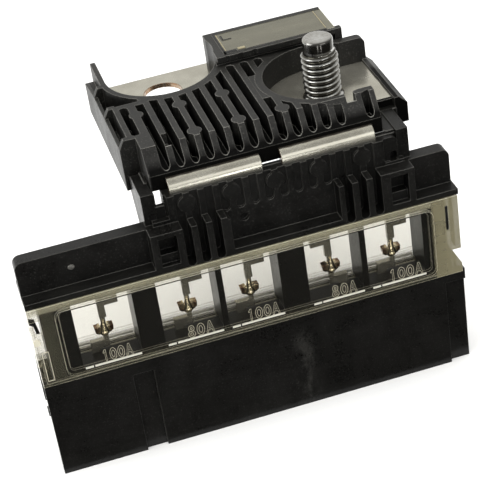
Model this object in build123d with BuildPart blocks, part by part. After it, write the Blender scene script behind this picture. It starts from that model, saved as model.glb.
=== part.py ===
"""Battery fusible link block: sheet bus bar, stud, two resin bodies and clear covers.

The origin is the centre of the battery terminal hole, on the underside of the plate.
X runs along the fuse window, Y points away from it and Z is up. Millimetres.
"""
import os

from build123d import *

os.makedirs("parts", exist_ok=True)

# Bus bar sheet
sheet = 1.0
bend_radius = 2.2
web_front = -37.7
hole_radius = 4.1
plate_back = 8.3
plate_front = -13.0
plate_side = 12.4
left_strip = (-8.4, 11.0)
right_strip = (15.2, 35.0)
right_plate_end = 43.2
right_plate_y = (-26.8, -6.6)
link_y = 0.0
link_x = 34.0
link_half = 1.6
neck_x = (20.0, 29.0)
neck_half = 0.8

# Stud
stud_x = 30.5
stud_y = -18.8
stud_radius = 3.95
stud_height = 14.5
stud_collar = 0.4
head_radius = 6.5
head_height = 2.4
head_edge = 0.5
dog_radius = 3.2
dog_height = 2.5
dog_edge = (0.3, 0.5)
thread_runout = 0.8

# Five fuse elements: one alone, then two pairs
first_fuse = -26.8
pair_gap = 17.9
pair_pitch = 13.45
web_drop = 4.3
element_arm = (-0.5, 3.9)
element_step = (-0.5, 1.0)
element_neck = (-0.4, 0.6)
element_foot = (-3.4, 0.6)
element_leg = (-3.4, -1.4)
pellet_height = -28.6
pellet_size = (4.0, 2.5, 3.4)
pellet_chamfer = 0.9
main_pellet_size = (4.0, 3.6, 2.6)
main_pellet_chamfer = 0.8
tab_shift = (-3.6, -1.8, -1.8, 0.0, 0.0)
tab_width = 8.0
tab_end = -53.0
tab_point = 1.5

# Upper body
deck_top = 6.7
deck_left = -13.2
deck_right = 37.4
lip_height = 1.9
slope_back = -32.0
slot_pitch = 3.08
slot_width = 1.75
first_slot = -7.7
recess_radius = 12.05
rim = 1.9
underside = -1.4
skirt_low = -4.7
right_low = -4.7
deck_front_left = -11.65
block_top = 9.0
clear_sheet = 0.9
cap_x = (13.4, 38.3)
cap_y = (-5.8, 5.2)
cap_notch = (1.6, 1.2)
right_wall = (42.7, 45.5)
left_wall = (-15.2, -14.4)
wall_rear = 9.2
wall_front = -28.5
sill_y = (-27.6, -26.8)
rear_wall = (-8.9, -7.0)
block_x = (11.6, 38.3)
block_y = (-6.6, 5.8)
block_wall = -5.2
block_step = (38.0, 39.5)
chamber_x = (13.6, 37.0)
chamber_y = (-4.2, 4.4)
lid_seat = 1.2
stud_boss = (8.2, 3.2)
stud_post_x = (36.4, 43.6)
battery_post_end = 10.4
recess_clearance = 0.25
rim_gap = (31.3, 33.3)
rim_gap_front = -32.8
clear_of_stud = (21.5, -29.0)
slot_end = -6.4
slot_run_out = 0.35
pad_radius = 1.5
rib_y = (-1.6, -12.1, -26.5)
rib_half = 0.6
slot_floor = 1.3
open_deck = -30.4

# Lower body
front = -41.7
back = -32.7
base = -59.3
left = -41.7
right_room = 14.6
sill = -35.6
ledge_top = -15.3
ledge = 1.3
rail_top = -7.5
rail_front = -38.85
rail_back = -35.6
wall = 1.4
socket_roof = -40.5
arm_left = -14.4
arm_right = 41.9
arm_width = 2.5
arm_front = -37.7
arm_top = -0.6
arm_back = -25.6
raised_ends = ((-14.6, 2.0), (24.9, 41.1))
end_pockets = ((-13.1, -9.3), (35.9, 39.7))
lock_tab = (35.4, 39.3)
grooved_x = (-9.5, 36.2)
grooved_ends = (-13.0, 40.3)
window_z = (-33.9, -18.9)
window_inset = 0.7
bay_room = ((6.0, 6.5), (6.3, 6.2), (5.95, 6.05), (6.05, 5.75), (6.4, 6.1))
socket_room = (6.0, 6.3, 6.45, 6.45, 6.4)
band_x = (-23.4, -18.9)
flange = 4.5
lower_slot = -7.0
tongue_low = -35.2

# Window covers
frame_beside = (3.6, 1.9)
frame_in_z = (-34.2, -18.0)
frame_height = 0.8
cover_return = 2.6
left_notch_z = (-22.6, -19.4)
right_notch_z = (-33.4, -29.6)

# Cuts run this far past what they open
past = 20.0

web_back = web_front + sheet
lip = web_front + bend_radius
ledge_bottom = ledge_top - ledge
fuse_x = [
    first_fuse,
    first_fuse + pair_gap,
    first_fuse + pair_gap + pair_pitch,
    first_fuse + 2 * pair_gap + pair_pitch,
    first_fuse + 2 * pair_gap + 2 * pair_pitch,
]
fuse_side = [1, 1, 1, -1, 1]
tab_x = [x + shift for x, shift in zip(fuse_x, tab_shift)]
web_low = ledge_bottom - web_drop
right = fuse_x[4] + right_room
flange_left = right - flange

# One bay of the window for each fuse element, and three sockets under them
bays = [(x - low, x + high) for x, (low, high) in zip(fuse_x, bay_room)]
partitions = [(before[1], after[0]) for before, after in zip(bays, bays[1:])]
window_x = (bays[0][0], bays[-1][1])
frame_in_x = (window_x[0] - frame_beside[0], window_x[1] + frame_beside[1])
socket_x = [
    (tab_x[first] - socket_room[first], tab_x[last] + socket_room[last])
    for first, last in ((0, 0), (1, 2), (3, 4))
]
front_facing = Plane.XZ.offset(-web_front)


def box(x, y, z, mode=Mode.ADD):
    """Adds or cuts a box between two limits on each axis."""
    with Locations((sum(x) / 2, sum(y) / 2, sum(z) / 2)):
        Box(abs(x[1] - x[0]), abs(y[1] - y[0]), abs(z[1] - z[0]), mode=mode)


def area(x, y, mode=Mode.ADD):
    """Adds or cuts a rectangle between two limits on each sketch axis."""
    with Locations((sum(x) / 2, sum(y) / 2)):
        Rectangle(abs(x[1] - x[0]), abs(y[1] - y[0]), mode=mode)


# Bus bar: plates and main link
with BuildPart() as bus_bar:
    with BuildSketch():
        area(left_strip, (lip, plate_front + 1))
        area((-plate_side, plate_side), (plate_front, plate_back))
        area(right_strip, (lip, right_plate_y[0] + 1))
        area((right_strip[0], right_plate_end), right_plate_y)
        area((plate_side, neck_x[0]), (link_y - link_half, link_y + link_half))
        area(neck_x, (link_y - neck_half, link_y + neck_half))
        area((neck_x[1], link_x + link_half), (link_y - link_half, link_y + link_half))
        area((link_x - link_half, link_x + link_half), (right_plate_y[1], link_y))
        Circle(hole_radius, mode=Mode.SUBTRACT)
        with Locations((stud_x, stud_y)):
            Circle(stud_radius + stud_collar, mode=Mode.SUBTRACT)
    extrude(amount=sheet)
    # Bends at the two strips
    for start, end in (left_strip, right_strip):
        with BuildSketch(Plane.YZ.offset(start)):
            with BuildLine():
                CenterArc((lip, sheet - bend_radius), bend_radius, 90, 90)
                Line((web_front, sheet - bend_radius), (web_back, sheet - bend_radius))
                CenterArc((lip, sheet - bend_radius), bend_radius - sheet, 180, -90)
                Line((lip, 0), (lip, sheet))
            make_face()
        extrude(amount=end - start)
    # Upright webs, fuse elements and terminal tabs
    with BuildSketch(front_facing):
        area((fuse_x[0] - 1.5, left_strip[1]), (ledge_top, web_low))
        area(left_strip, (sheet - bend_radius, ledge_bottom))
        area((right_strip[0], fuse_x[4] + 5.0), (ledge_top, web_low))
        area(right_strip, (sheet - bend_radius, ledge_bottom))
        for x, side, tab in zip(fuse_x, fuse_side, tab_x):
            area([x + side * v for v in element_arm], (web_low - 2.2, web_low + 0.3))
            area([x + side * v for v in element_step], (pellet_height + 2.6, web_low - 0.7))
            area([x + side * v for v in element_neck], (pellet_height - 3.0, pellet_height + 3.0))
            area([x + side * v for v in element_foot], (pellet_height - 4.6, pellet_height - 2.7))
            area([x + side * v for v in element_leg], (sill - 1.5, pellet_height - 3.0))
            area((tab - tab_width / 2, tab + tab_width / 2), (tab_end + tab_point, sill - 0.8))
            with Locations((tab, tab_end + tab_point / 2)):
                Trapezoid(tab_width, tab_point, 60, rotation=180)
    extrude(amount=-sheet)
bus_bar.part.label = "bus_bar"
export_step(bus_bar.part, "parts/bus_bar.step")

# Stud: head under the plate, shank, thread run-out and dog point
with BuildPart() as stud:
    with BuildSketch(Plane.XZ):
        with BuildLine():
            Polyline(
                (0, -head_height),
                (head_radius - head_edge, -head_height),
                (head_radius, head_edge - head_height),
                (head_radius, 0),
                (stud_radius + stud_collar, 0),
                (stud_radius + stud_collar, sheet),
                (stud_radius, sheet + stud_collar),
                (stud_radius, stud_height - dog_height - thread_runout),
                (dog_radius, stud_height - dog_height),
                (dog_radius, stud_height - dog_edge[1]),
                (dog_radius - dog_edge[0], stud_height),
                (0, stud_height),
                close=True,
            )
        make_face()
    revolve(axis=Axis.Z)
stud.part.position = (stud_x, stud_y, 0)
stud.part.label = "stud"
export_step(stud.part, "parts/stud.step")

# Tin pellets crimped round the fuse elements
for number, x in enumerate(fuse_x, start=1):
    with BuildPart() as tin_pellet:
        with Locations((x, web_front + sheet / 2, pellet_height)):
            Box(*pellet_size)
        chamfer(tin_pellet.edges().filter_by(Axis.Y), pellet_chamfer)
        add(bus_bar.part, mode=Mode.SUBTRACT)
    tin_pellet.part.label = f"tin_pellet_{number}"
    export_step(tin_pellet.part, f"parts/tin_pellet_{number}.step")

with BuildPart() as main_pellet:
    with Locations((sum(neck_x) / 2, link_y, sheet / 2)):
        Box(*main_pellet_size)
    chamfer(main_pellet.edges().filter_by(Axis.Z), main_pellet_chamfer)
    add(bus_bar.part, mode=Mode.SUBTRACT)
main_pellet.part.label = "main_pellet"
export_step(main_pellet.part, "parts/main_pellet.step")

# Upper body
with BuildPart() as upper_body:
    box((deck_left, deck_right), (lip, 0), (underside, deck_top))
    box((right_strip[0], right_wall[0]), (sill_y[1], rear_wall[1]), (underside, 0))
    box((deck_right - 1, right_wall[0]), sill_y, (-0.5, sheet + 0.3))
    box((deck_left, -recess_radius), (0, battery_post_end), (underside, deck_top))
    box((block_x[0], block_x[1]), (block_wall, block_y[1]), (underside, block_top))
    box((block_x[0], block_step[1]), (block_y[0], block_wall), (block_top - lid_seat, block_top))
    box(block_step, (block_y[0], block_wall), (underside, block_top))
    with Locations((stud_x, stud_y, -stud_boss[1] / 2)):
        Cylinder(*stud_boss)
    # Right side wall, chamfered along the top, and the short wall behind the stud
    with BuildSketch(Plane.XZ.offset(-rear_wall[1])):
        with BuildLine():
            Polyline(
                (right_wall[0], right_low),
                (right_wall[0], sheet + 0.45),
                (right_wall[0] + 1.0, sheet + 0.45),
                (right_wall[1], -0.3),
                (right_wall[1], right_low),
                close=True,
            )
        make_face()
    extrude(amount=rear_wall[1] - wall_front)
    with BuildSketch(Plane.XZ.offset(-rear_wall[1])):
        area(stud_post_x, (underside, deck_top))
        fillet(vertices().sort_by(Axis.X)[-2:].sort_by(Axis.Y)[-1], 1.5)
    extrude(amount=rear_wall[1] - rear_wall[0])
    # Sloped front above the lip
    with BuildSketch(Plane.YZ.offset(deck_left - 1)):
        with BuildLine():
            Polyline(
                (lip, lip_height),
                (slope_back, deck_top),
                (lip - 1, deck_top + 1),
                (lip - 1, lip_height),
                close=True,
            )
        make_face()
    extrude(amount=deck_right - deck_left + 2, mode=Mode.SUBTRACT)
    # Battery terminal recess, open at the back
    with BuildSketch(Plane.XY.offset(underside - 3)):
        Circle(recess_radius)
        area((-recess_radius, block_x[0]), (0, recess_radius))
    extrude(amount=past, mode=Mode.SUBTRACT)
    # Stud recess down to the plate, open to the right
    with BuildSketch(Plane.XY.offset(sheet)):
        with Locations((stud_x, stud_y)):
            Circle(recess_radius + recess_clearance)
        area((stud_x, right_wall[0]), (open_deck, rear_wall[0]))
        area(rim_gap, (rim_gap_front, open_deck + 0.4))
    extrude(amount=past, mode=Mode.SUBTRACT)
    # Cooling slots, kept clear of both recess rims
    with BuildSketch(Plane.XY.offset(slot_floor)):
        for k in range(15):
            if k != 13:
                with Locations((first_slot + slot_pitch * k, (lip + slot_run_out + slot_end) / 2)):
                    SlotOverall(slot_end - lip - slot_run_out, slot_width, rotation=90)
        with Locations((stud_x, stud_y), (0, 0)):
            Circle(recess_radius + rim, mode=Mode.SUBTRACT)
        area((clear_of_stud[0], right_wall[1]), (clear_of_stud[1], -5.0), mode=Mode.SUBTRACT)
        area((first_slot - 1, first_slot + 1), (-13.6, -5.0), mode=Mode.SUBTRACT)
        with Locations((first_slot - slot_pitch - 0.4, -19.8)):
            SlotOverall(12.8, slot_width, rotation=90)
    extrude(amount=past, mode=Mode.SUBTRACT)
    # Hollow outside the rim of the battery recess
    with BuildSketch(Plane.XY.offset(slot_floor)):
        area((left_wall[1], -7.5), (rib_y[1], rib_y[0]))
        area((left_wall[1], deck_left), (rib_y[0], 0))
        Circle(recess_radius + 1.2, mode=Mode.SUBTRACT)
    extrude(amount=past, mode=Mode.SUBTRACT)
    # Ejector pads on the ribs, in two rows
    for first, pad_y in ((0, -17.7), (3, -30.0)):
        for k in range(3):
            with Locations((first_slot + slot_pitch * (3 * k + first - 0.5), pad_y, (sheet + deck_top) / 2)):
                Cylinder(pad_radius, deck_top - sheet)
    box((-6.7, -5.2), (-32.4, -28.2), (4.2, deck_top + 1), mode=Mode.SUBTRACT)
    # Front left corner, open above the arm
    box((deck_left - 1, deck_front_left), (lip - 1, rib_y[2] - rib_half), (-past, past), mode=Mode.SUBTRACT)
    # Left side wall with pockets between cross ribs
    with BuildSketch(Plane.YZ.offset(left_wall[0])):
        with BuildLine():
            Polyline(
                (rib_y[2] - rib_half, skirt_low),
                (rib_y[2] - rib_half, 4.7),
                (rib_y[0], 4.7),
                (wall_rear, 2.9),
                (wall_rear, skirt_low + 0.6),
                close=True,
            )
        make_face()
    extrude(amount=left_wall[1] - left_wall[0])
    for y in rib_y:
        with BuildSketch(Plane.XZ.offset(-y - rib_half)):
            with BuildLine():
                Polyline(
                    (left_wall[0], underside),
                    (left_wall[0], 4.7),
                    (left_wall[0] + 1.05, deck_top),
                    (deck_front_left if y == rib_y[2] else deck_left + 0.6, deck_top),
                    (deck_front_left if y == rib_y[2] else deck_left + 0.6, underside),
                    close=True,
                )
            make_face()
        extrude(amount=2 * rib_half)
    box((left_wall[1], deck_left), (rib_y[2], rib_y[0]), (underside, slot_floor))
    box((left_wall[1], deck_left), (rib_y[0], wall_rear), (underside, 2.9))
    # Main link cavity, open upwards under its cover
    box(chamber_x, chamber_y, (0, past), mode=Mode.SUBTRACT)
    box(cap_x, cap_y, (block_top - clear_sheet, past), mode=Mode.SUBTRACT)
    notch_x = (cap_x[0], cap_x[0] + cap_notch[0])
    notch_y = (cap_y[0], cap_y[0] + cap_notch[1])
    box(notch_x, notch_y, (block_top - lid_seat, block_top))
    add(bus_bar.part, mode=Mode.SUBTRACT)
    add(stud.part, mode=Mode.SUBTRACT)
    add(main_pellet.part, mode=Mode.SUBTRACT)
upper_body.part.label = "upper_body"
export_step(upper_body.part, "parts/upper_body.step")

# Cover over the main link
with BuildPart() as main_fuse_cover:
    box(cap_x, cap_y, (block_top - clear_sheet, block_top))
    box(notch_x, notch_y, (block_top - clear_sheet, block_top), mode=Mode.SUBTRACT)
main_fuse_cover.part.label = "main_fuse_cover"
export_step(main_fuse_cover.part, "parts/main_fuse_cover.step")

# Lower body
window_y = (front + window_inset, back - window_inset)
with BuildPart() as lower_body:
    # Socket block with full-width front and rear walls
    box((left, right), (front, front + wall), (base, sill))
    box((left + 2.6, right - 2.6), (front, back), (base, sill))
    box((left, right), (back - wall, back), (sill - 9.3, sill))
    box((left, left + 3), (back - wall, back), (sill - 13.7, sill - 11.9))
    box(band_x, (front - 1, front + 0.8), (base - 1, sill - 3.6), mode=Mode.SUBTRACT)
    box((flange_left, right + 1), (front - 1, front + 1.0), (base - 1, sill - 2.6), mode=Mode.SUBTRACT)
    for limits in socket_x:
        box(limits, (front + 1.6, back - 1.6), (base - 1, socket_roof), mode=Mode.SUBTRACT)
    # Window box between the socket block and the ledge, its floor lower behind the sheet
    box((left + 2.4, right - 3.2), window_y, (sill, ledge_bottom))
    box(window_x, (front, back), window_z, mode=Mode.SUBTRACT)
    box(window_x, (web_back, back + 1), (tongue_low, window_z[1]), mode=Mode.SUBTRACT)
    for limits in partitions:
        box(limits, window_y, (sill, ledge_bottom))
    # Ledge and rail
    box((left, right - 0.4), (front - 0.5, back + 0.5), (ledge_bottom, ledge_top))
    box((left, right - 0.6), (rail_front, rail_back), (ledge_top - 0.5, rail_top))
    fillet(lower_body.edges().filter_by(Axis.Y).group_by(Axis.Z)[-1], 1.6)
    # Raised ends of the centre section, with a pocket and three slots each
    for end in raised_ends:
        box(end, (front - 0.5, rail_front), (ledge_top, rail_top))
    pocket_back = rail_front + 0.05
    for pocket in end_pockets:
        box(pocket, (front - 1, pocket_back), (ledge_top + 0.2, rail_top - 1.1), mode=Mode.SUBTRACT)
        box(pocket, (front + 0.8, pocket_back), (ledge_top, ledge_top + 2.3))
    # Grooved band under the strips, its slots running down both ends
    box(grooved_x, (rail_front, web_back), (rail_top, underside - 0.2))
    box((grooved_ends[0], grooved_x[0]), (rail_front, web_back), (rail_top, rail_top + 0.9))
    box((grooved_x[1], grooved_ends[1]), (rail_front, web_back), (rail_top, rail_top + 0.6))
    with BuildSketch(front_facing.offset(0.6)):
        for k in range(14):
            low = ledge_top + 0.3 if k < 3 or k > 10 else rail_top + 0.8
            with Locations((lower_slot + slot_pitch * k, (low + underside) / 2)):
                SlotOverall(underside - low + 3.0, slot_width, rotation=90)
        area((-20, 50), (underside, underside + 3), mode=Mode.SUBTRACT)
    extrude(amount=8, mode=Mode.SUBTRACT)
    for k in range(5):
        with Locations((lower_slot + slot_pitch * (3 * k + 0.5), (web_front + rail_front) / 2, -4.2)):
            Cylinder(1.9, abs(web_front - rail_front), rotation=(90, 0, 0))
    with Locations((5.6, rail_front, -10.5)):
        Cylinder(0.9, 1.6, rotation=(90, 0, 0), mode=Mode.SUBTRACT)
    # Wall behind the strips, parted at the gap between them
    for start, end in (left_strip, right_strip):
        box((start + 0.4, end - 0.4), (web_back, web_back + 3.0), (ledge_top, underside - 0.2))
    box((left_strip[0] - 1.5, left_strip[0] + 1.0), (web_front + 0.2, web_back + 2.0), (rail_top, underside - 0.2))
    # Lock tab at the right of the strips
    with BuildSketch(front_facing.offset(0.6)):
        area(lock_tab, (rail_top - 0.5, underside - 0.2))
        fillet(vertices().sort_by(Axis.Y)[-2:].sort_by(Axis.X)[-1], 1.2)
        with Locations((lock_tab[1] - 1.05, rail_top + 1.0)):
            SlotOverall(3.2, 1.5, rotation=90, mode=Mode.SUBTRACT)
    extrude(amount=-1.6)
    # Two arms that hold the upper body
    for x in ((arm_left, arm_left + arm_width), (arm_right - arm_width, arm_right)):
        with BuildSketch(Plane.YZ.offset(x[0])):
            with BuildLine():
                Polyline(
                    (rail_back, ledge_top),
                    (arm_front, rail_top - 0.5),
                    (arm_front, arm_top),
                    (wall_front - 0.3, arm_top),
                    (wall_front - 0.3, underside),
                    (arm_back, underside),
                    (arm_back, underside - 3),
                    (back + 0.5, ledge_top),
                    close=True,
                )
            make_face()
        extrude(amount=x[1] - x[0])
    add(bus_bar.part, mode=Mode.SUBTRACT)
    add(upper_body.part, mode=Mode.SUBTRACT)
lower_body.part.label = "lower_body"
export_step(lower_body.part, "parts/lower_body.step")

# Clear window covers, front and rear
cover_x = (left, right - 0.8)
cover_z = (sill, ledge_bottom)
cover_face = front - clear_sheet
with BuildPart() as front_cover:
    box(cover_x, (cover_face, front), cover_z)
    # Ends turned back round the window box
    box((cover_x[0], cover_x[0] + clear_sheet), (front - 0.1, front + cover_return), cover_z)
    box((cover_x[1] - clear_sheet, cover_x[1]), (front - 0.1, front + cover_return), cover_z)
    with BuildSketch(Plane.XZ.offset(-cover_face)):
        with Locations((sum(frame_in_x) / 2, sum(frame_in_z) / 2)):
            RectangleRounded(frame_in_x[1] - frame_in_x[0], frame_in_z[1] - frame_in_z[0], 1.8)
    extrude(amount=frame_height)
    with BuildSketch(Plane.XZ.offset(-front)):
        with Locations((sum(frame_in_x) / 2, sum(frame_in_z) / 2)):
            RectangleRounded(frame_in_x[1] - frame_in_x[0] - 1.6, frame_in_z[1] - frame_in_z[0] - 1.6, 1.0)
    extrude(amount=frame_height, mode=Mode.SUBTRACT)
    # Snap notches at both ends, the right one with a slanted side
    box((left - 1, left + 2.2), (cover_face - 1, front + 3), left_notch_z, mode=Mode.SUBTRACT)
    with BuildSketch(Plane.XZ.offset(-cover_face + 1)):
        with BuildLine():
            low, high = right_notch_z
            Polyline((cover_x[1] - 2.0, high), (right, high), (right, low), (cover_x[1], low), close=True)
        make_face()
    extrude(amount=-5, mode=Mode.SUBTRACT)
front_cover.part.label = "front_cover"
export_step(front_cover.part, "parts/front_cover.step")

# The rear cover is its mirror image, with stepped tongues under the fuse elements
with BuildPart() as rear_cover:
    add(mirror(front_cover.part, about=Plane.XZ.offset(-(front + back) / 2)))
    for start, end in bays:
        box((start + 0.1, end - 0.1), (web_back + 0.3, back + 0.1), (tongue_low, tongue_low + 0.5))
        box((start + 0.1, end - 0.1), (web_back + 1.5, back + 0.1), (tongue_low, tongue_low + 0.95))
rear_cover.part.label = "rear_cover"
export_step(rear_cover.part, "parts/rear_cover.step")
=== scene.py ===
import math

import bmesh
import bpy
from mathutils import Matrix, Vector


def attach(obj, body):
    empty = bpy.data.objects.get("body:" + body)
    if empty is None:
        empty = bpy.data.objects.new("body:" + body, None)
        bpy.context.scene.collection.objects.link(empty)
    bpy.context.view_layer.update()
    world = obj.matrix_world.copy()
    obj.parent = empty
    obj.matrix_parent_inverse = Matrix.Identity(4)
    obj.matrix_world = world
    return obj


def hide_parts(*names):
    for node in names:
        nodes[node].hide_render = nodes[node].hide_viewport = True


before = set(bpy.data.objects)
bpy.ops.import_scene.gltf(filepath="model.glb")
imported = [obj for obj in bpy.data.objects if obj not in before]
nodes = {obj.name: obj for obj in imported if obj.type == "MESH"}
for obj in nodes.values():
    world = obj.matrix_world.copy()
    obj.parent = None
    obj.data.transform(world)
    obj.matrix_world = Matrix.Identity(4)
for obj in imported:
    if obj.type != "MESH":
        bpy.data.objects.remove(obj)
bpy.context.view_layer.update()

MM = 0.001

# Upright axes of the terminal hole and the stud, in metres
TERMINAL = Vector((0, 0, 0)) * MM
STUD = Vector((30.5, -18.8, 0)) * MM

# Places and sizes on the part, in millimetres
HOLE_RADIUS = 4.1
RIB_PITCH = 3.08
BEND_Y = -35.55
FUSES = (-26.8, -8.9, 4.55, 22.45, 35.9)
SHEET_Y = -37.2
PELLET_Z = -28.6
BAYS = ((-32.8, -20.3), (-15.2, -2.7), (-1.4, 10.6), (16.4, 28.2), (29.5, 42.0))
COVER_Y = -42.6
FRAME_LEFT, FRAME_RIGHT = -36.2, 43.7
FRAME_BOTTOM, FRAME_TOP = -34.0, -18.2
LID_TOP = 8.9
BASE_Z = -59.3

# Ratings on the front cover, and the width that each one fills
RATINGS = ("100A", "80A", "100A", "80A", "100A")
RATING_X = ((-28.9, -22.4), (-10.7, -5.0), (2.1, 9.2), (20.6, 26.2), (33.3, 40.9))
RATING_Z = -33.22
RATING_HEIGHT = 2.9

# The direction of the light: edges of black resin that face it get a painted highlight
LIT = Vector((-0.45, -0.25, 0.86))

# Colours of metal and clear resin
TIN_DULL = (0.405, 0.388, 0.325, 1)
TIN_BRIGHT = (0.505, 0.487, 0.415, 1)
TIN_WORN = (0.42, 0.38, 0.32, 1)
TIN_SHADE = (0.085, 0.065, 0.045, 1)
COPPER = (0.30, 0.17, 0.09, 1)
ZINC_BRIGHT = (0.66, 0.66, 0.64, 1)
ZINC_DULL = (0.46, 0.45, 0.41, 1)
ZINC_GROOVE_SHADE = (0.05, 0.045, 0.03, 1)
ZINC_FRONT_SHADE = (0.035, 0.033, 0.029, 1)
ZINC_TOP = (0.34, 0.33, 0.30, 1)
PELLET_GOLD = (0.95, 0.84, 0.60, 1)
PELLET_RED = (0.20, 0.105, 0.06, 1)
PANE_TINT = (0.91, 0.904, 0.885, 1.0)
PANE_GLOSS = (0.95, 0.95, 0.93, 1.0)
PANE_EDGE_HIGHLIGHT = (0.62, 0.59, 0.47, 1.0)
PANE_IOR = 1.45


# Materials
class Maker:
    """Builds one node material around a Principled shader."""

    # Numbers of a Mix node's colour sockets
    COLOUR_A, COLOUR_B, MIXED_COLOUR = 6, 7, 2

    def __init__(self, name):
        self.mat = bpy.data.materials.new(name)
        self.mat.use_nodes = True
        self.tree = self.mat.node_tree
        self.tree.nodes.clear()
        self.out = self.tree.nodes.new("ShaderNodeOutputMaterial")
        self.shader = self.tree.nodes.new("ShaderNodeBsdfPrincipled")
        self.tree.links.new(self.shader.outputs[0], self.out.inputs[0])
        self.coordinates = self.tree.nodes.new("ShaderNodeTexCoord").outputs

    def set(self, **values):
        for name, value in values.items():
            self.shader.inputs[name.replace("_", " ")].default_value = value

    def link(self, value, name):
        self.tree.links.new(value, self.shader.inputs[name])

    def node(self, kind, inputs=(), **settings):
        """A new node, with each input linked to a socket or set to a plain value."""
        made = self.tree.nodes.new(kind)
        for name, value in settings.items():
            setattr(made, name, value)
        for socket, value in dict(inputs).items():
            target = made.inputs[socket]
            if isinstance(value, bpy.types.NodeSocket):
                self.tree.links.new(value, target)
            else:
                target.default_value = value
        return made

    def maths(self, operation, a, b=0.0):
        return self.node("ShaderNodeMath", {0: a, 1: b}, operation=operation).outputs[0]

    def times(self, a, b):
        return self.maths("MULTIPLY", a, b)

    def add(self, a, b):
        return self.maths("ADD", a, b)

    def larger(self, a, b):
        return self.maths("MAXIMUM", a, b)

    def away(self, a, b):
        """How far a lies from b, on either side."""
        return self.maths("ABSOLUTE", self.maths("SUBTRACT", a, b))

    def ramp(self, value, low, high, at_low=0.0, at_high=1.0):
        """at_low at low, at_high at high, straight between them and level beyond."""
        values = {"Value": value, "From Min": low, "From Max": high, "To Min": at_low, "To Max": at_high}
        return self.node("ShaderNodeMapRange", values).outputs[0]

    def zone(self, value, low, high, at_low=0.0, at_high=1.0):
        """The same ramp between two places in millimetres."""
        return self.ramp(value, low * MM, high * MM, at_low, at_high)

    def blend(self, factor, a, b):
        """Colour a where factor is 0 and colour b where it is 1."""
        values = {"Factor": factor, self.COLOUR_A: a, self.COLOUR_B: b}
        return self.node("ShaderNodeMix", values, data_type="RGBA").outputs[self.MIXED_COLOUR]

    def noise(self, scale, detail=3.0, stretch=(1, 1, 1), rough=0.5, distortion=0.0):
        """Noise with about scale lumps to the metre."""
        place = {"Vector": self.coordinates["Object"], "Scale": stretch}
        values = {
            "Vector": self.node("ShaderNodeMapping", place).outputs[0],
            "Scale": scale,
            "Detail": detail,
            "Roughness": rough,
            "Distortion": distortion,
        }
        return self.node("ShaderNodeTexNoise", values).outputs[0]

    def axes(self, vector=None):
        """x, y and z of a vector, or of the place on the part."""
        if vector is None:
            vector = self.coordinates["Object"]
        return self.node("ShaderNodeSeparateXYZ", {0: vector}).outputs

    def facing(self):
        """x, y and z of the direction that the face points in."""
        return self.axes(self.node("ShaderNodeNewGeometry").outputs["Normal"])

    def dot(self, a, b):
        return self.node("ShaderNodeVectorMath", {0: a, 1: b}, operation="DOT_PRODUCT").outputs["Value"]

    def from_axis(self, centre):
        """Distance from the upright axis through centre."""
        x, y, _ = self.axes()
        flat = self.node("ShaderNodeCombineXYZ", {0: x, 1: y}).outputs[0]
        far = self.node("ShaderNodeVectorMath", {0: flat, 1: centre}, operation="DISTANCE")
        return far.outputs["Value"]

    def edge(self, radius):
        """A normal that is rounded at sharp edges, by a radius in millimetres."""
        return self.node("ShaderNodeBevel", {"Radius": radius * MM}, samples=4).outputs[0]

    def highlight_mask(self, radius, low, high, lit=None):
        """A mask for painted edge highlights: 1 along edges, 0 on flats, and weak where an edge turns away
        from the direction lit.
        """
        rounded = self.edge(radius)
        plain = self.node("ShaderNodeNewGeometry").outputs["Normal"]
        edge_highlight = self.ramp(self.dot(rounded, plain), high, low)
        if lit is None:
            return edge_highlight
        towards_lit = self.ramp(self.dot(rounded, lit), 0.25, 0.85, 0.12, 1.0)
        return self.times(edge_highlight, towards_lit)

    def bump(self, height, strength, distance, normal=None):
        """A normal that is roughened by height, over a distance in millimetres."""
        values = {"Height": height, "Strength": strength, "Distance": distance * MM}
        if normal is not None:
            values["Normal"] = normal
        return self.node("ShaderNodeBump", values).outputs[0]


def grey(level, tint=(1.0, 0.97, 0.87)):
    """A warm grey for black resin: its dust, specks and scuffs, and its painted shade and painted edge
    highlights.
    """
    return tuple(level * part for part in tint) + (1.0,)


def dimmed(colour, share):
    return tuple(share * part for part in colour[:3]) + (1.0,)


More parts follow.
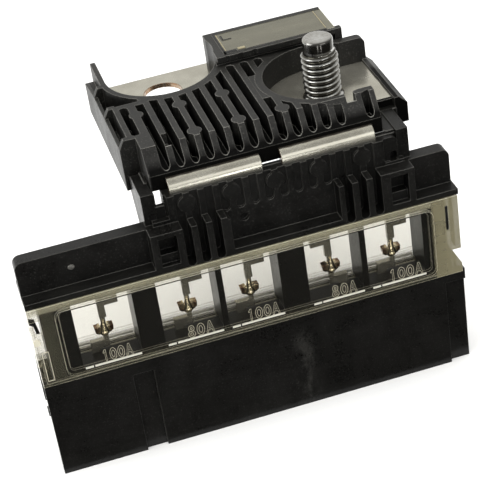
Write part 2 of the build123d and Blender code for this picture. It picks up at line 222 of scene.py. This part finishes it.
def resin(name, dark, light, pale, rough, grain, shine, shaded=False):
    """Black moulded resin: blotches from dark to light, fine grain, specks, pale edges painted as
    highlights, and scuffs.
    """
    speck_grey, shade_grey, scuff_grey = grey(light * 3.5), grey(0.0015), grey(0.06)
    scuff_x, scuff_reach = 13.4, 3.2
    m = Maker(name)
    x, y, z = m.axes()
    clouds = m.noise(110.0, detail=4.0, stretch=(1.0, 1.0, 0.5), rough=0.6, distortion=0.6)
    streaks = m.noise(500.0, stretch=(0.12, 1.0, 1.0), rough=0.6)
    grit = m.noise(2600.0, rough=0.7)
    mixed = m.add(m.times(clouds, 0.45), m.times(streaks, 0.2))
    mixed = m.add(mixed, m.times(grit, 0.35))
    colour = m.blend(m.ramp(mixed, 0.40, 0.62), grey(dark), grey(light))
    specks = m.ramp(m.noise(3000.0, detail=2.0), 0.60, 0.72, 0.0, 0.8)
    colour = m.blend(specks, colour, speck_grey)
    m.set(Specular_IOR_Level=shine)
    if shaded:
        # The slots of the deck and the lip under its ribs lie in shade
        deep = m.zone(z, 2.8, 4.3, 0.95, 0.0)
        right_of_terminal = m.zone(x, -11.5, -11.2)
        in_front = m.zone(y, -12.0, -14.0)
        shade = m.times(m.times(deep, right_of_terminal), in_front)
        colour = m.blend(shade, colour, shade_grey)
        m.link(m.ramp(shade, 0.0, 1.0, shine, shine * 0.12), "Specular IOR Level")
    # Painted highlight on the edges that face the light, patchy with the blotches
    edge_highlight = m.highlight_mask(0.22, 0.90, 0.995, LIT)
    edge_highlight = m.times(edge_highlight, m.ramp(clouds, 0.3, 0.6, 0.45, 1.0))
    colour = m.blend(edge_highlight, colour, grey(pale))
    # Scuffs low on the part, in one upright band
    band = m.zone(m.away(x, scuff_x * MM), 0.0, scuff_reach, 1.0, 0.0)
    low_down = m.zone(z, -38.0, -42.0)
    patches = m.noise(420.0, detail=5.0, stretch=(1, 1, 0.6), rough=0.7)
    scuff = m.times(m.times(band, low_down), m.ramp(patches, 0.45, 0.75, 0.0, 0.5))
    m.link(m.blend(scuff, colour, scuff_grey), "Base Color")
    m.link(m.ramp(mixed, 0.35, 0.68, rough - 0.10, rough + 0.12), "Roughness")
    fine = m.bump(m.noise(4200.0, detail=2.0), grain, 0.05, m.edge(0.25))
    m.link(m.bump(m.noise(160.0, detail=2.0), 0.3, 0.2, fine), "Normal")
    return m.mat


def tin(name):
    """Tin plate on copper: warm, with faint rolling lines and brown sheared edges."""
    ring_radius, scallop_height, scallop_change = 6.6, 0.09, 0.12
    m = Maker(name)
    x, y, z = m.axes()
    clouds = m.noise(180.0, detail=4.0)
    lines = m.noise(900.0, stretch=(0.08, 1.0, 1.0), rough=0.6)
    colour = m.blend(m.ramp(clouds, 0.35, 0.65), TIN_DULL, TIN_BRIGHT)
    # Copper shows in the hole and on the sheared sides above the fuse elements
    sideways = m.ramp(m.maths("ABSOLUTE", m.facing()[0]), 0.75, 0.9)
    sheared = m.times(sideways, m.zone(z, -18.0, -14.0))
    far = m.from_axis(TERMINAL)
    in_hole = m.zone(far, HOLE_RADIUS + 0.03, HOLE_RADIUS + 0.25, 1.0, 0.0)
    sheared = m.larger(sheared, in_hole)
    sheared = m.times(sheared, m.ramp(m.noise(1400.0), 0.35, 0.6, 0.45, 1.0))
    colour = m.blend(sheared, colour, COPPER)
    # A faint worn ring round the hole
    ring = m.zone(m.away(far, ring_radius * MM), 0.1, 0.5, 0.22, 0.0)
    ring = m.times(ring, m.ramp(m.noise(700.0), 0.4, 0.6, 0.2, 1.0))
    colour = m.blend(ring, colour, TIN_WORN)
    # Scalloped shade at the start of the bend, one arc for each rib of the deck
    wave = m.maths("SINE", m.times(x, 2 * math.pi / (RIB_PITCH * MM)))
    uneven = m.ramp(m.noise(300.0), 0.3, 0.7, -scallop_change * MM, scallop_change * MM)
    reach = m.add(m.times(wave, scallop_height * MM), uneven)
    below = m.add(m.maths("SUBTRACT", BEND_Y * MM, y), reach)
    shade = m.times(m.zone(below, 0.25, 0.62, 0.85, 0.0), m.zone(y, -35.2, -35.4))
    m.link(m.blend(shade, colour, TIN_SHADE), "Base Color")
    m.link(m.ramp(clouds, 0.3, 0.7, 0.16, 0.28), "Roughness")
    m.link(m.bump(lines, 0.05, 0.05, m.edge(0.25)), "Normal")
    m.set(Metallic=0.86)
    return m.mat


def zinc(name):
    """Bright zinc plate with small stains, painted shade in the grooves and on the front of the dog point,
    whose top is darker too.
    """
    m = Maker(name)
    z = m.axes()[2]
    spots = m.noise(1500.0, detail=4.0, rough=0.6)
    colour = m.blend(m.ramp(spots, 0.45, 0.7), ZINC_BRIGHT, ZINC_DULL)
    # Painted shade in the roots of the thread
    groove_shade = m.times(m.zone(m.from_axis(STUD), 3.45, 3.85, 0.93, 0.0), m.zone(z, 11.9, 11.3))
    colour = m.blend(groove_shade, colour, ZINC_GROOVE_SHADE)
    # Painted shade on the front of the dog point
    point_front_shade = m.times(m.ramp(m.facing()[1], -0.3, -0.7, 0.0, 0.95), m.zone(z, 11.9, 12.1))
    colour = m.blend(point_front_shade, colour, ZINC_FRONT_SHADE)
    point_top = m.zone(z, 14.0, 14.4, 0.0, 0.5)
    m.link(m.blend(point_top, colour, ZINC_TOP), "Base Color")
    m.link(m.ramp(spots, 0.3, 0.7, 0.08, 0.20), "Roughness")
    m.link(m.bump(m.noise(2600.0, detail=2.0), 0.12, 0.04, m.edge(0.12)), "Normal")
    m.set(Metallic=1.0)
    return m.mat


def pellet_metal(name):
    """Tin alloy, glossy and gold in the middle, red-brown out on the wings."""
    m = Maker(name)
    across = m.axes(m.coordinates["Generated"])[0]
    side = m.ramp(m.away(across, 0.5), 0.16, 0.36, 0.0, 0.8)
    wing_red = m.add(side, m.ramp(m.noise(900.0, detail=2.0), 0.35, 0.65, -0.2, 0.3))
    m.link(m.blend(wing_red, PELLET_GOLD, PELLET_RED), "Base Color")
    m.link(m.ramp(m.noise(1400.0), 0.3, 0.7, 0.05, 0.13), "Roughness")
    m.link(m.bump(m.noise(1300.0, detail=2.0), 0.4, 0.1), "Normal")
    m.set(Metallic=1.0)
    return m.mat


def clear(name, haze, milk, end_milk=None):
    """Clear resin: see-through and glossy, milky where haze(maker) says, with pale edges that are a painted
    highlight.
    """
    m = Maker(name)
    fresnel = m.node("ShaderNodeFresnel", {"IOR": PANE_IOR}).outputs[0]
    outside = m.maths("SUBTRACT", 1.0, m.node("ShaderNodeNewGeometry").outputs["Backfacing"])
    see = m.node("ShaderNodeBsdfTransparent", {"Color": PANE_TINT}).outputs[0]
    rough = m.ramp(m.noise(260.0, detail=4.0), 0.35, 0.65, 0.03, 0.09)
    normal = m.bump(m.noise(90.0, detail=2.0), 0.10, 0.2, m.edge(0.15))
    finish = {"Color": PANE_GLOSS, "Roughness": rough, "Normal": normal}
    gloss = m.node("ShaderNodeBsdfGlossy", finish).outputs[0]
    pane = m.node("ShaderNodeMixShader", {0: m.times(fresnel, outside), 1: see, 2: gloss}).outputs[0]
    # Painted highlight: pale, milky edges
    edge_highlight = m.highlight_mask(0.18, 0.90, 0.995)
    tone = m.blend(m.noise(300.0, stretch=(0.3, 1, 1)), dimmed(milk, 0.62), milk)
    if end_milk is not None:
        past_frame = m.zone(m.axes()[0], 43.5, 44.2)
        tone = m.blend(past_frame, tone, end_milk)
    m.link(m.blend(edge_highlight, tone, PANE_EDGE_HIGHLIGHT), "Base Color")
    m.link(rough, "Roughness")
    m.link(normal, "Normal")
    m.set(IOR=PANE_IOR)
    milky = m.larger(m.times(edge_highlight, 0.8), haze(m))
    mix = m.node("ShaderNodeMixShader", {0: milky, 1: pane, 2: m.shader.outputs[0]}).outputs[0]
    m.tree.links.new(mix, m.out.inputs[0])
    return m.mat


def cover_haze(m):
    """A window cover is polished inside its frame and hazy round it, most of all on the right."""
    x, y, z = m.axes()
    fade = 0.5
    top = m.zone(z, FRAME_TOP, FRAME_TOP + fade, 0.0, 0.50)
    bottom = m.zone(z, FRAME_BOTTOM, FRAME_BOTTOM - fade, 0.0, 0.07)
    left = m.zone(x, FRAME_LEFT, FRAME_LEFT - fade, 0.0, 0.06)
    right = m.zone(x, FRAME_RIGHT, FRAME_RIGHT + fade, 0.0, 0.70)
    end = m.zone(x, 46.0, 46.4, 0.0, 0.74)
    most = m.larger(m.larger(top, bottom), m.larger(m.larger(right, end), left))
    streaks = m.ramp(m.noise(300.0, stretch=(0.25, 1.0, 1.0)), 0.3, 0.7, 0.88, 1.10)
    tongues = m.times(m.zone(z, -34.3, -34.6, 0.0, 0.5), m.zone(y, -36.9, -36.6))
    return m.larger(m.times(m.add(most, 0.001), streaks), tongues)


def lid_haze(m):
    """The main link's cover is dull all over, and more so at its right end."""
    end = m.zone(m.axes()[0], 36.6, 37.6, 0.0, 0.35)
    dust = m.ramp(m.noise(420.0, detail=4.0), 0.3, 0.7, 0.78, 0.90)
    return m.add(dust, end)


def frost(name, colour):
    """Milky clear resin of the raised letters and small ribs."""
    m = Maker(name)
    tone = m.noise(1200.0)
    m.link(m.blend(tone, colour, dimmed(colour, 0.8)), "Base Color")
    m.link(m.ramp(tone, 0.3, 0.7, 0.25, 0.4), "Roughness")
    m.set(IOR=1.5)
    return m.mat


def plain_floor(name):
    """Matt near-white paint."""
    m = Maker(name)
    m.link(m.blend(m.noise(8.0, detail=2.0), (0.80, 0.80, 0.79, 1), (0.83, 0.83, 0.82, 1)), "Base Color")
    m.set(Roughness=0.9)
    return m.mat


deck_resin = resin(
    "deck_resin", dark=0.004, light=0.018, pale=0.22, rough=0.42, grain=0.55, shine=0.28, shaded=True
)
body_resin = resin("body_resin", dark=0.0022, light=0.007, pale=0.11, rough=0.34, grain=0.40, shine=0.26)
tin_plate = tin("tin_plate")
bright_zinc = zinc("bright_zinc")
pellet_alloy = pellet_metal("pellet_alloy")
clear_resin = clear(
    "clear_resin", cover_haze, milk=(0.37, 0.345, 0.235, 1.0), end_milk=(0.19, 0.172, 0.108, 1.0)
)
lid_resin = clear("lid_resin", lid_haze, milk=(0.118, 0.112, 0.080, 1.0))
letter_resin = frost("letter_resin", (0.62, 0.585, 0.46, 1.0))
ledge_resin = frost("ledge_resin", (0.75, 0.74, 0.68, 1.0))
stub_resin = frost("stub_resin", (0.23, 0.20, 0.12, 1.0))
rough_resin = resin("rough_resin", dark=0.02, light=0.10, pale=0.20, rough=0.5, grain=0.8, shine=0.4)

# Materials of the CAD nodes that stay
LOOKS = {
    "upper_body": deck_resin,
    "lower_body": body_resin,
    "bus_bar": tin_plate,
    "main_pellet": pellet_alloy,
    "front_cover": clear_resin,
    "rear_cover": clear_resin,
    "main_fuse_cover": lid_resin,
}
for name, mat in LOOKS.items():
    mesh = nodes[name].data
    mesh.materials.clear()
    mesh.materials.append(mat)


# New pieces
def piece(name, mesh, mat, smooth=True):
    obj = bpy.data.objects.new(name, mesh)
    bpy.context.scene.collection.objects.link(obj)
    mesh.materials.append(mat)
    if smooth:
        mesh.shade_smooth()
    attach(obj, "root")
    return obj


def from_bmesh(name, bm):
    bmesh.ops.recalc_face_normals(bm, faces=bm.faces)
    mesh = bpy.data.meshes.new(name)
    bm.to_mesh(mesh)
    bm.free()
    return mesh


def ring_skin(bm, rings):
    """Joins rings of points, in order, into one closed skin."""
    made = [[bm.verts.new(point) for point in ring] for ring in rings]
    for a, b in zip(made, made[1:]):
        for i in range(len(a)):
            j = (i + 1) % len(a)
            bm.faces.new((a[i], a[j], b[j], b[i]))
    bm.faces.new(list(reversed(made[0])))
    bm.faces.new(made[-1])


def block(name, x, y, z, mat, rounded=0.12):
    """A box between two limits on each axis, with rounded edges."""
    bm = bmesh.new()
    size = Vector((x[1] - x[0], y[1] - y[0], z[1] - z[0])) * MM
    centre = Vector((x[0] + x[1], y[0] + y[1], z[0] + z[1])) * MM / 2
    place = Matrix.Translation(centre) @ Matrix.Diagonal((*size, 1.0))
    bmesh.ops.create_cube(bm, size=1.0, matrix=place)
    bmesh.ops.bevel(bm, geom=bm.edges[:], offset=rounded * MM, segments=2, affect="EDGES")
    piece(name, from_bmesh(name, bm), mat, smooth=False)


def prism(name, points, y, mat):
    """A shape of (x, z) points, carried from one y to another."""
    bm = bmesh.new()
    ring_skin(bm, [[Vector((px, level, pz)) * MM for px, pz in points] for level in y])
    piece(name, from_bmesh(name, bm), mat, smooth=False)


def clamp(value):
    return min(1.0, max(0.0, value))


def screw():
    """The stud: head, shank, helical thread, run-out and dog point."""
    pitch, crest, root = 1.25, 3.95, 3.25
    low, high = 1.3, 11.5
    root_flat, flank = 0.30, 0.52
    run_in, run_out, faintest = 0.8, 1.0, 0.15
    around, rings_per_turn = 72, 10
    smallest = 0.02
    # The head and the dog point, as (radius, height)
    head = (
        (0.0, -2.4),
        (5.6, -2.4),
        (6.2, -2.2),
        (6.5, -1.8),
        (6.5, -0.2),
        (6.4, 0.0),
        (4.35, 0.0),
        (4.35, 0.95),
        (3.9, 1.2),
    )
    tip = ((3.2, 12.0), (3.2, 13.9), (3.1, 14.2), (2.85, 14.42), (2.4, 14.5), (1.9, 14.42), (1.0, 14.22))
    count = int((high - low) / pitch * rings_per_turn)

    def thread(turn):
        """Radius from root to crest and back along one pitch, with a flat at both."""
        t = abs((turn % 1.0) - 0.5) * 2
        return root + (crest - root) * clamp((t - root_flat) / flank)

    def radius(z, angle):
        """The thread, which grows out of the root at both of its ends."""
        grown = clamp((z - low + 0.2) / run_in) * clamp((high - z) / run_out)
        full = thread(z / pitch - angle / (2 * math.pi))
        return root + (full - root) * (faintest + (1 - faintest) * grown)

    def ring(radius_at, z):
        points = []
        for i in range(around):
            angle = 2 * math.pi * i / around
            r = radius_at(z, angle)
            points.append(STUD + Vector((r * math.cos(angle), r * math.sin(angle), z)) * MM)
        return points

    rings = [ring(lambda z, a, r=max(r, smallest): r, z) for r, z in head]
    rings += [ring(radius, low + (high - low) * k / count) for k in range(count + 1)]
    rings += [ring(lambda z, a, r=r: r, z) for r, z in tip]
    bm = bmesh.new()
    ring_skin(bm, rings)
    obj = piece("stud_thread", from_bmesh("stud_thread", bm), bright_zinc)
    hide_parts("stud")


def pellet(number, x):
    """A tin pellet: a cone down the neck, two wings crimped round the strip and a drop below."""
    bm = bmesh.new()
    centre = Matrix.Translation(Vector((x, SHEET_Y, PELLET_Z)) * MM)

    def moved(place, lean=0.0):
        """A place beside the pellet's middle, leaning sideways by degrees."""
        turn = Matrix.Rotation(math.radians(lean), 4, "Y")
        return centre @ Matrix.Translation(Vector(place) * MM) @ turn

    def lobe(place, size, lean=0.0):
        matrix = moved(place, lean) @ Matrix.Diagonal((*(Vector(size) * MM), 1.0))
        bmesh.ops.create_uvsphere(bm, u_segments=24, v_segments=16, radius=1.0, matrix=matrix)

    def wing(side):
        size = Matrix.Diagonal((1.30 * MM, 1.7 * MM, 1.25 * MM, 1.0))
        matrix = moved(place=(side * 1.30, -0.05, 0.10), lean=side * 7) @ size
        bmesh.ops.create_cube(bm, size=1.0, matrix=matrix)
        lobe(place=(side * 0.95, -0.05, -0.55), size=(0.95, 0.85, 0.80), lean=side * 20)

    cone = {"radius1": 1.00 * MM, "radius2": 0.34 * MM, "depth": 2.7 * MM}
    cone_place = moved(place=(0, -0.50, 0.75))
    bmesh.ops.create_cone(bm, cap_ends=True, segments=24, matrix=cone_place, **cone)
    lobe(place=(0.0, -0.55, -0.75), size=(1.05, 1.0, 0.80))
    lobe(place=(0.0, -0.15, -1.35), size=(0.9, 0.80, 0.55))
    for side in (-1, 1):
        wing(side)
    obj = piece(f"pellet_{number}", from_bmesh(f"pellet_{number}", bm), pellet_alloy)
    one_skin = obj.modifiers.new("one skin", "REMESH")
    one_skin.mode = "VOXEL"
    one_skin.voxel_size = 0.085 * MM
    one_skin.use_smooth_shade = True
    soft = obj.modifiers.new("soft", "SMOOTH")
    soft.iterations = 4
    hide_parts(f"tin_pellet_{number}")


# Raised lines on the front cover
def outline(name, loops, thickness):
    """Closed lines raised from the front cover, through (x, z) points."""
    curve = bpy.data.curves.new(name, "CURVE")
    curve.dimensions = "3D"
    curve.bevel_depth = thickness / 2 * MM
    curve.bevel_resolution = 2
    for points in loops:
        spline = curve.splines.new("POLY")
        spline.points.add(len(points) - 1)
        spline.use_cyclic_u = True
        for point, (px, pz) in zip(spline.points, points):
            point.co = (px * MM, (COVER_Y - 0.01) * MM, pz * MM, 1.0)
    obj = bpy.data.objects.new(name, curve)
    bpy.context.scene.collection.objects.link(obj)
    curve.materials.append(letter_resin)
    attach(obj, "root")


def oval(cx, cz, rx, rz, count=20):
    angles = [2 * math.pi * i / count for i in range(count)]
    return [(cx + rx * math.sin(a), cz + rz * math.cos(a)) for a in angles]


# Loops of each sign, in a square of one by one
GLYPHS = {
    "1": [[(0.28, 0.72), (0.28, 0.84), (0.48, 1.0), (0.64, 1.0), (0.64, 0.0), (0.46, 0.0), (0.46, 0.80)]],
    "0": [oval(0.5, 0.5, 0.46, 0.5), oval(0.5, 0.5, 0.21, 0.29)],
    "8": [
        oval(0.5, 0.75, 0.34, 0.25),
        oval(0.5, 0.27, 0.42, 0.27),
        oval(0.5, 0.75, 0.12, 0.09),
        oval(0.5, 0.27, 0.18, 0.11),
    ],
    "A": [
        [(0.02, 0), (0.40, 1), (0.60, 1), (0.98, 0), (0.80, 0), (0.70, 0.27), (0.30, 0.27), (0.20, 0)],
        [(0.36, 0.42), (0.64, 0.42), (0.5, 0.82)],
    ],
}


def rating(number, text, start, end):
    """One rating's signs, spread from start to end."""
    sign_width, spare = 0.9, 0.1
    advance = (end - start) / (len(text) - spare)
    loops = []
    for place, sign in enumerate(text):
        for points in GLYPHS[sign]:
            loop = []
            for px, pz in points:
                loop.append((start + (place + sign_width * px) * advance, RATING_Z + pz * RATING_HEIGHT))
            loops.append(loop)
    outline(f"rating_{number}", loops, thickness=0.09)


# Small moulded details, each with its limits on every axis
def body_webs():
    """Small webs of the lower body beside and between the strips."""
    webs = {
        "web_left": ((-11.9, -9.2), (-37.4, -36.3), (-7.2, -3.9)),
        "web_left_arm": ((-12.1, -11.4), (-36.6, -28.6), (-4.4, -1.45)),
        "web_left_gap": ((-12.6, -11.8), (-33.6, -28.6), (-3.0, -0.2)),
        "web_middle": ((10.9, 15.3), (-36.8, -35.75), (-3.6, -1.45)),
        "web_right": ((34.9, 39.5), (-36.9, -35.55), (-8.3, -1.45)),
        "web_right_arm": ((37.45, 39.5), (-36.6, -29.0), (-6.5, -0.9)),
        "web_right_end": ((39.0, 43.0), (-28.9, -27.4), (-3.2, -0.65)),
    }
    for name, (x, y, z) in webs.items():
        block(name, x, y, z, body_resin)


def bay_details():
    """A bright ledge in two parts under each rating, and two bars behind each bay's lower edge."""
    ledge_y, ledge_z = (-42.72, -42.5), (-33.80, -33.40)
    for number, (start, end) in enumerate(BAYS, start=1):
        gap = start + 1.9
        spans = ((start + 0.2, gap), (gap + 0.3, end - 0.4))
        for part, x in enumerate(spans, start=1):
            block(f"ledge_{number}_{part}", x, ledge_y, ledge_z, ledge_resin, rounded=0.05)
    middles = ((-35.1, -34.95), (-33.5, -34.05))
    half_depth, half_height = 0.22, 0.2
    for number, (start, end) in enumerate(BAYS, start=1):
        x = (start + 0.3, end - 0.3)
        for part, (mid_y, mid_z) in enumerate(middles, start=1):
            y = (mid_y - half_depth, mid_y + half_depth)
            z = (mid_z - half_height, mid_z + half_height)
            block(f"tongue_{number}_{part}", x, y, z, ledge_resin, rounded=0.05)


def cover_details():
    """On the front cover: a bare label frame, a dark slit, a dark line, the left latch and its bead."""
    left, right, bottom, top = -40.5, -39.2, -34.2, -27.1
    corners = [(left, bottom), (right, bottom), (right, top), (left, top)]
    outline("label_left", [corners], thickness=0.16)
    raised = (-42.66, -42.5)
    block("slit_right", (46.75, 47.35), raised, (-24.3, -18.4), body_resin, rounded=0.05)
    line_x, line_z = (FRAME_LEFT, FRAME_RIGHT), (-18.84, -18.62)
    block("frame_line", line_x, raised, line_z, body_resin, rounded=0.03)
    latch = ((-41.6, -18.8), (-40.4, -19.3), (-39.9, -22.5), (-40.6, -22.5), (-40.9, -20.5), (-41.6, -20.0))
    prism("latch_left", latch, (-42.25, -41.6), body_resin)
    bead = oval(cx=-40.95, cz=-24.3, rx=0.75, rz=0.75, count=16)
    prism("bead_left", bead, (-42.95, -42.5), letter_resin)


def lid_details():
    """On the main link's cover: a hook, a yellowish gate stub, a dark rim, a notch and two pale lines."""
    hook_z, rim_z, line_z = (LID_TOP, 9.12), (LID_TOP, 9.1), (LID_TOP, 9.08)
    block("lid_hook_bar", (14.9, 16.9), (0.75, 1.25), hook_z, body_resin, rounded=0.05)
    block("lid_hook_end", (14.75, 15.2), (0.8, 3.2), hook_z, body_resin, rounded=0.05)
    block("lid_stub", (16.6, 18.6), (-5.2, -3.9), (8.6, 9.15), stub_resin, rounded=0.2)
    rims = {
        "lid_rim_back": ((13.4, 38.2), (4.35, 5.2)),
        "lid_rim_left": ((13.4, 14.0), (-5.8, 4.5)),
        "lid_rim_front": ((13.5, 36.5), (-5.8, -5.3)),
        "lid_notch": ((13.5, 16.5), (-5.5, -4.4)),
    }
    for name, (x, y) in rims.items():
        block(name, x, y, rim_z, body_resin, rounded=0.04)
    # Pale lines along the lid's edges: painted highlights
    block("lid_line_left", (14.1, 14.32), (-4.2, 4.2), line_z, stub_resin, rounded=0.04)
    block("lid_line_right", (36.4, 36.62), (-5.0, 4.2), line_z, stub_resin, rounded=0.04)


def gate_mark():
    """The broken-off gate on the rail."""
    place, squash, radius = (-30.7, -38.85, -11.4), (1.0, 0.5, 0.8), 0.75
    matrix = Matrix.Translation(Vector(place) * MM) @ Matrix.Diagonal((*squash, 1.0))
    bm = bmesh.new()
    bmesh.ops.create_icosphere(bm, subdivisions=2, radius=radius * MM, matrix=matrix)
    piece("gate_mark", from_bmesh("gate_mark", bm), rough_resin, smooth=False)


def deck_web():
    """Fills the slot that runs along the stud recess, down to where it opens again."""
    block("deck_web", (15.9, 17.9), (-24.3, -13.6), (4.0, 6.68), deck_resin, rounded=0.03)


body_webs()
bay_details()
cover_details()
lid_details()
gate_mark()
deck_web()
screw()
for number, x in enumerate(FUSES, start=1):
    pellet(number, x)
for number, (text, (start, end)) in enumerate(zip(RATINGS, RATING_X), start=1):
    rating(number, text, start, end)

# Floor
bpy.ops.mesh.primitive_plane_add(size=6.0, location=(0, 0, BASE_Z * MM))
floor = bpy.context.object
floor.name = "floor"
floor.data.materials.append(plain_floor("floor"))

# Warm white studio all round, brighter towards the back and above
world = bpy.data.worlds.new("studio")
bpy.context.scene.world = world
world.use_nodes = True
sky = world.node_tree.nodes
background = sky["Background"]
background.inputs["Color"].default_value = (1.0, 0.992, 0.965, 1.0)
aim = sky.new("ShaderNodeVectorMath")
aim.operation = "DOT_PRODUCT"
aim.inputs[1].default_value = (0.0, 0.86, 0.50)
level = sky.new("ShaderNodeMapRange")
for name, value in {"From Min": 0.35, "From Max": 0.95, "To Min": 0.42, "To Max": 0.85}.items():
    level.inputs[name].default_value = value
direction = sky.new("ShaderNodeTexCoord").outputs["Generated"]
world.node_tree.links.new(direction, aim.inputs[0])
world.node_tree.links.new(aim.outputs["Value"], level.inputs["Value"])
world.node_tree.links.new(level.outputs[0], background.inputs["Strength"])
bpy.context.scene.view_settings.view_transform = "Standard"


# Lights, in metres
def softbox(name, place, target, size, watts, glossy=True):
    """A rectangular lamp that the camera doesn't see."""
    light = bpy.data.lights.new(name, "AREA")
    light.shape = "RECTANGLE"
    light.size, light.size_y = size
    light.energy = watts
    obj = bpy.data.objects.new(name, light)
    bpy.context.scene.collection.objects.link(obj)
    obj.location = place
    towards = Vector(target) - Vector(place)
    obj.rotation_euler = towards.to_track_quat("-Z", "Y").to_euler()
    obj.visible_glossy = glossy
    obj.visible_camera = False


softbox("left", place=(-0.60, -0.05, 0.35), target=(0, -0.02, -0.03), size=(0.5, 0.5), watts=2.0)
softbox(
    "top", place=(-0.05, -0.10, 0.75), target=(0.0, -0.03, -0.03), size=(0.8, 0.8), watts=10.5, glossy=False
)
softbox("front", place=(0.30, -0.65, 0.35), target=(0.01, -0.02, -0.03), size=(0.5, 0.4), watts=1.0)

# Two weak upright lamps in front put bright streaks on the pellets
for number, x in enumerate((-0.055, 0.045), start=1):
    place, target = (x, -0.26, -0.02), (0.0, -0.04, -0.03)
    softbox(f"glint_{number}", place, target, size=(0.018, 0.07), watts=0.03)

# Dim card just above the floor in front: only reflections see it
card_lift = 0.0004
bpy.ops.mesh.primitive_plane_add(size=1.0, location=(0.0, -0.3425, BASE_Z * MM + card_lift))
card = bpy.context.object
card.name = "card"
card.scale = (0.9, 0.6, 1.0)
card.visible_camera = False
card.visible_diffuse = False
card.visible_shadow = False
card.visible_transmission = False
dim = Maker("card")
dim.set(Base_Color=(0, 0, 0, 1), Specular_IOR_Level=0.0)
dim.set(Emission_Color=(1.0, 0.96, 0.86, 1), Emission_Strength=0.12)
card.data.materials.append(dim.mat)

# Camera at the photograph's angle: place in millimetres, turns in degrees
camera_place = (-52.6, -321.6, 169.7)
camera_left, camera_up, camera_roll = 11.30, 32.74, 9.01
camera_data = bpy.data.cameras.new("camera")
camera_data.lens = 126.6
camera_data.sensor_width = 36.0
camera_data.sensor_fit = "HORIZONTAL"
camera_data.clip_start = 0.01
camera = bpy.data.objects.new("camera", camera_data)
bpy.context.scene.collection.objects.link(camera)
camera.matrix_world = (
    Matrix.Translation(Vector(camera_place) * MM)
    @ Matrix.Rotation(math.radians(-camera_left), 4, "Z")
    @ Matrix.Rotation(math.radians(90 - camera_up), 4, "X")
    @ Matrix.Rotation(math.radians(-camera_roll), 4, "Z")
)
bpy.context.scene.camera = camera
